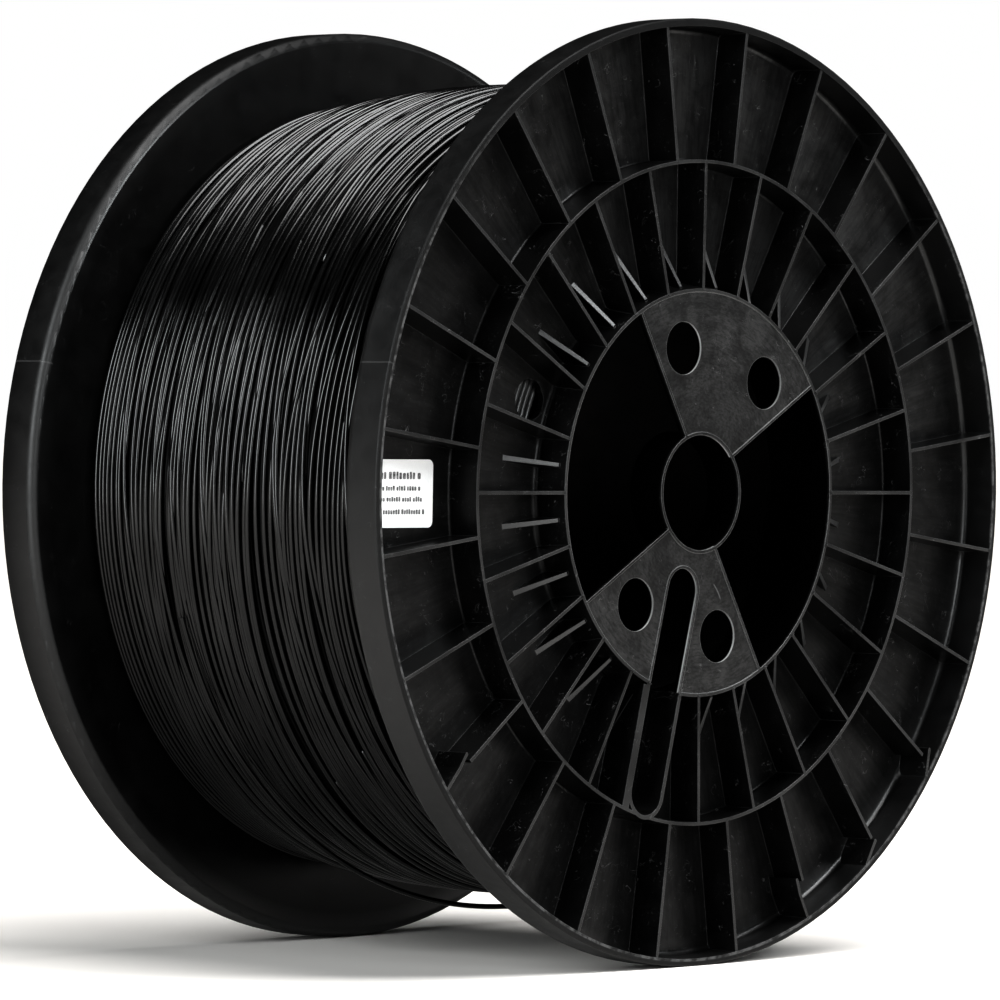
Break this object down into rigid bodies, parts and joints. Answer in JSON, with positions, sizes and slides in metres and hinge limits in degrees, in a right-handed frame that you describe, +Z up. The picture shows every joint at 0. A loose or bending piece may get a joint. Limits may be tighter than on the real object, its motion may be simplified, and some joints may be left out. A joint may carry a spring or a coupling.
{
  "type": "filament spool",
  "caption": "Large wound filament spool: two ribbed moulded flanges with an open hub and spindle bore, on a core tube wound with round filament.",
  "frame": {"origin": "centre of the spool, on its axis, midway between the outer faces of the two rims", "axes": "+Y along the spool's axis, from the open front flange with the label towards the rear flange; +Z up when the spool stands on its rims; +X to the right, seen from the front flange"},
  "size_m": [0.3, 0.164, 0.3],
  "materials": {
    "flange_plastic": "satin moulded black",
    "barrel_plastic": "satin moulded black",
    "filament": "glossy extruded black",
    "label_paper": "matt white paper"
  },
  "bodies": {
    "root": {"front_flange": "flange_plastic", "rear_flange": "flange_plastic", "barrel": "barrel_plastic", "filament_winding": "filament", "filament_tail": "filament", "product_label": "label_paper"}
  },
  "joints": []
}
